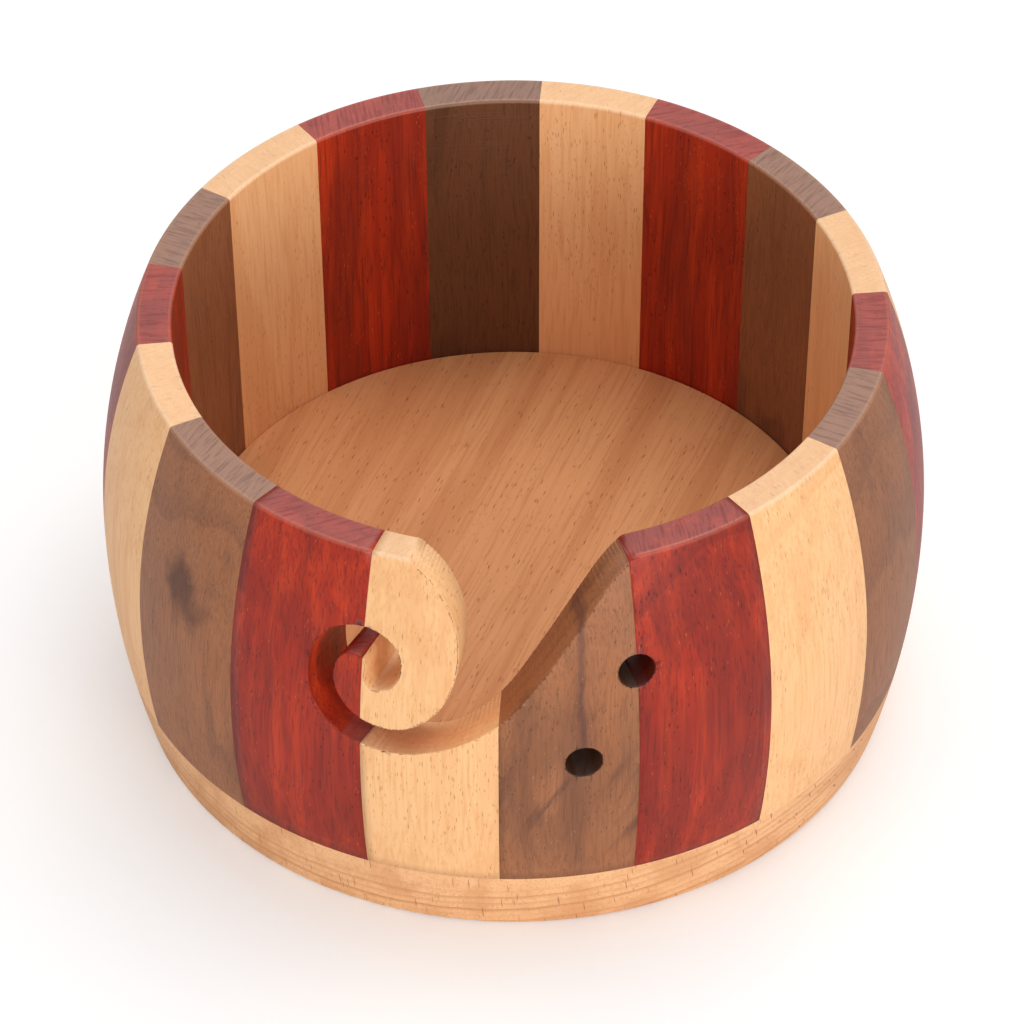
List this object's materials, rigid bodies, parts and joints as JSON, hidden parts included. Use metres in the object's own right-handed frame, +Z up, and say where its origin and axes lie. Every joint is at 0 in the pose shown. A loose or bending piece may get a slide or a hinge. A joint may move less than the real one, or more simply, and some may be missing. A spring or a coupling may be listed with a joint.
{
  "type": "yarn bowl",
  "caption": "Round staved wooden yarn bowl with a straight inner wall, a curled hook slot opening over the rim and small yarn holes, which feeds yarn from a ball while it is knitted.",
  "frame": {"origin": "centre of the foot, on the surface the bowl stands on", "axes": "+Z up out of the bowl, the hook and its slot face -Y, the hook's tip curls towards -X"},
  "size_m": [0.16, 0.16, 0.0905],
  "materials": {
    "beech_stave": "satin lacquer over sanded beech",
    "walnut_stave": "satin lacquer over sanded walnut",
    "padauk_stave": "satin lacquer over sanded padauk",
    "beech_base": "satin lacquer over sanded beech"
  },
  "bodies": {
    "root": {"stave_01_beech": "beech_stave", "stave_02_walnut": "walnut_stave", "stave_03_padauk": "padauk_stave", "stave_04_beech": "beech_stave", "stave_05_walnut": "walnut_stave", "stave_06_padauk": "padauk_stave", "stave_07_beech": "beech_stave", "stave_08_walnut": "walnut_stave", "stave_09_padauk": "padauk_stave", "stave_10_beech": "beech_stave", "stave_11_walnut": "walnut_stave", "stave_12_padauk": "padauk_stave", "stave_13_beech": "beech_stave", "stave_14_walnut": "walnut_stave", "stave_15_padauk": "padauk_stave", "stave_16_beech": "beech_stave", "stave_17_walnut": "walnut_stave", "stave_18_padauk": "padauk_stave", "hook_beech": "beech_stave", "hook_tip_padauk": "padauk_stave", "base_board_left": "beech_base", "base_board_middle": "beech_base", "base_board_right": "beech_base"}
  },
  "joints": []
}
